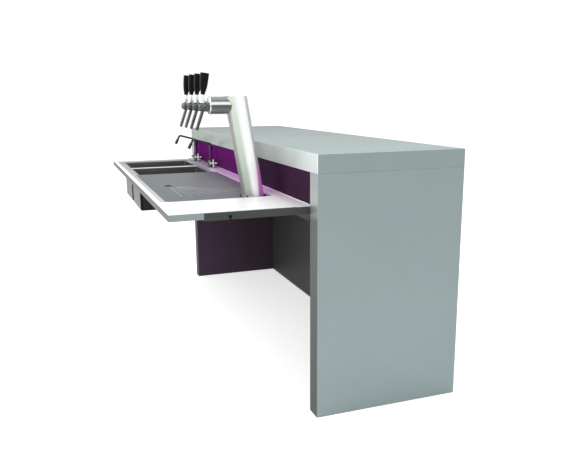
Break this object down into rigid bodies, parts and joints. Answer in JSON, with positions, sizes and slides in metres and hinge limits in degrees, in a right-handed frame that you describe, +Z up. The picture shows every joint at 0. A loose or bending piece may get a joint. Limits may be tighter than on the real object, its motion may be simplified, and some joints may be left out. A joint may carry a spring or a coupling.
{
  "type": "bar counter",
  "caption": "Stainless steel bar counter: clad portal with a raised slab, service worktop with sink bowls, mixers, drip tray and a leaning beer column with lever taps.",
  "frame": {"origin": "on the floor, in the middle of the whole footprint", "axes": "+X along the counter towards the end with the beer column, +Y towards the customer side, +Z up"},
  "size_m": [2.5, 1.294, 1.4838],
  "materials": {
    "clad_steel": "satin brushed sheet",
    "board": "raw board, hidden",
    "dark_lining": "dark matt lining",
    "purple_panel": "glossy purple panel",
    "aubergine_panel": "glossy dark aubergine panel",
    "dark_paint": "dark grey paint",
    "worktop_steel": "satin pressed sheet",
    "bright_metal": "bright plated",
    "tower_steel": "polished tube",
    "mixer_chrome": "bright plated",
    "dark_chrome": "dark plated",
    "tap_chrome": "bright plated",
    "black_handle": "black moulded"
  },
  "bodies": {
    "counter": {"slab_casing": "clad_steel", "near_end_casing": "clad_steel", "far_end_casing": "clad_steel", "front_casing": "clad_steel", "slab_core": "board", "near_end_core": "board", "far_end_core": "board", "front_core": "board", "near_end_lining": "dark_lining", "far_end_lining": "dark_lining", "front_lining": "dark_lining", "purple_splash_panel": "purple_panel", "dark_splash_panel": "aubergine_panel", "lower_splash_rail": "dark_paint", "upper_splash_rail": "dark_paint", "worktop_beam": "dark_paint", "near_bracket": "dark_paint", "far_bracket": "dark_paint", "tower_bearer": "dark_paint", "mid_bearer": "dark_paint", "clamp_screws": "dark_paint", "worktop": "worktop_steel", "drip_tray": "worktop_steel", "near_bowl": "worktop_steel", "far_bowl": "worktop_steel", "bracket_bolts": "bright_metal", "tower_nuts": "bright_metal", "drip_drain": "bright_metal", "near_waste": "bright_metal", "far_waste": "bright_metal", "arm_cap": "bright_metal", "tower_flange": "tower_steel", "column": "tower_steel", "column_cap": "tower_steel", "arm": "tower_steel", "manifold": "tower_steel", "manifold_cap": "tower_steel", "near_mixer_body": "mixer_chrome", "far_mixer_body": "mixer_chrome", "tap_body_1": "tap_chrome", "tap_body_2": "tap_chrome", "tap_body_3": "tap_chrome", "tap_body_4": "tap_chrome"},
    "tap_1": {"tap_lever_1": "tap_chrome", "tap_handle_1": "black_handle"},
    "tap_2": {"tap_lever_2": "tap_chrome", "tap_handle_2": "black_handle"},
    "tap_3": {"tap_lever_3": "tap_chrome", "tap_handle_3": "black_handle"},
    "tap_4": {"tap_lever_4": "tap_chrome", "tap_handle_4": "black_handle"},
    "near_spout": {"near_mixer_spout": "dark_chrome"},
    "near_near_valve": {"near_mixer_near_handle": "mixer_chrome"},
    "near_far_valve": {"near_mixer_far_handle": "mixer_chrome"},
    "far_spout": {"far_mixer_spout": "dark_chrome"},
    "far_near_valve": {"far_mixer_near_handle": "mixer_chrome"},
    "far_far_valve": {"far_mixer_far_handle": "mixer_chrome"},
    "near_strainer": {"near_strainer": "bright_metal"},
    "far_strainer": {"far_strainer": "bright_metal"}
  },
  "joints": [
    {"name": "tap_1_pull", "type": "hinge", "parent": "counter", "child": "tap_1", "pos_m": [0.76, -0.41, 1.333], "axis": [1, 0, 0], "range_deg": [0, 45]},
    {"name": "tap_2_pull", "type": "hinge", "parent": "counter", "child": "tap_2", "pos_m": [0.633, -0.41, 1.333], "axis": [1, 0, 0], "range_deg": [0, 45]},
    {"name": "tap_3_pull", "type": "hinge", "parent": "counter", "child": "tap_3", "pos_m": [0.506, -0.41, 1.333], "axis": [1, 0, 0], "range_deg": [0, 45]},
    {"name": "tap_4_pull", "type": "hinge", "parent": "counter", "child": "tap_4", "pos_m": [0.379, -0.41, 1.333], "axis": [1, 0, 0], "range_deg": [0, 45]},
    {"name": "near_spout_swing", "type": "hinge", "parent": "counter", "child": "near_spout", "pos_m": [-0.478, -0.086, 1.057], "axis": [0, 0, 1], "range_deg": [-75, 75]},
    {"name": "near_near_valve_turn", "type": "hinge", "parent": "counter", "child": "near_near_valve", "pos_m": [-0.432, -0.086, 0.958], "axis": [1, 0, 0], "range_deg": [0, 90]},
    {"name": "near_far_valve_turn", "type": "hinge", "parent": "counter", "child": "near_far_valve", "pos_m": [-0.524, -0.086, 0.958], "axis": [-1, 0, 0], "range_deg": [0, 90]},
    {"name": "far_spout_swing", "type": "hinge", "parent": "counter", "child": "far_spout", "pos_m": [-0.94, -0.086, 1.057], "axis": [0, 0, 1], "range_deg": [-75, 75]},
    {"name": "far_near_valve_turn", "type": "hinge", "parent": "counter", "child": "far_near_valve", "pos_m": [-0.894, -0.086, 0.958], "axis": [1, 0, 0], "range_deg": [0, 90]},
    {"name": "far_far_valve_turn", "type": "hinge", "parent": "counter", "child": "far_far_valve", "pos_m": [-0.986, -0.086, 0.958], "axis": [-1, 0, 0], "range_deg": [0, 90]},
    {"name": "near_strainer_lift", "type": "slide", "parent": "counter", "child": "near_strainer", "axis": [0, 0, 1], "range_m": [0, 0.06]},
    {"name": "far_strainer_lift", "type": "slide", "parent": "counter", "child": "far_strainer", "axis": [0, 0, 1], "range_m": [0, 0.06]}
  ]
}
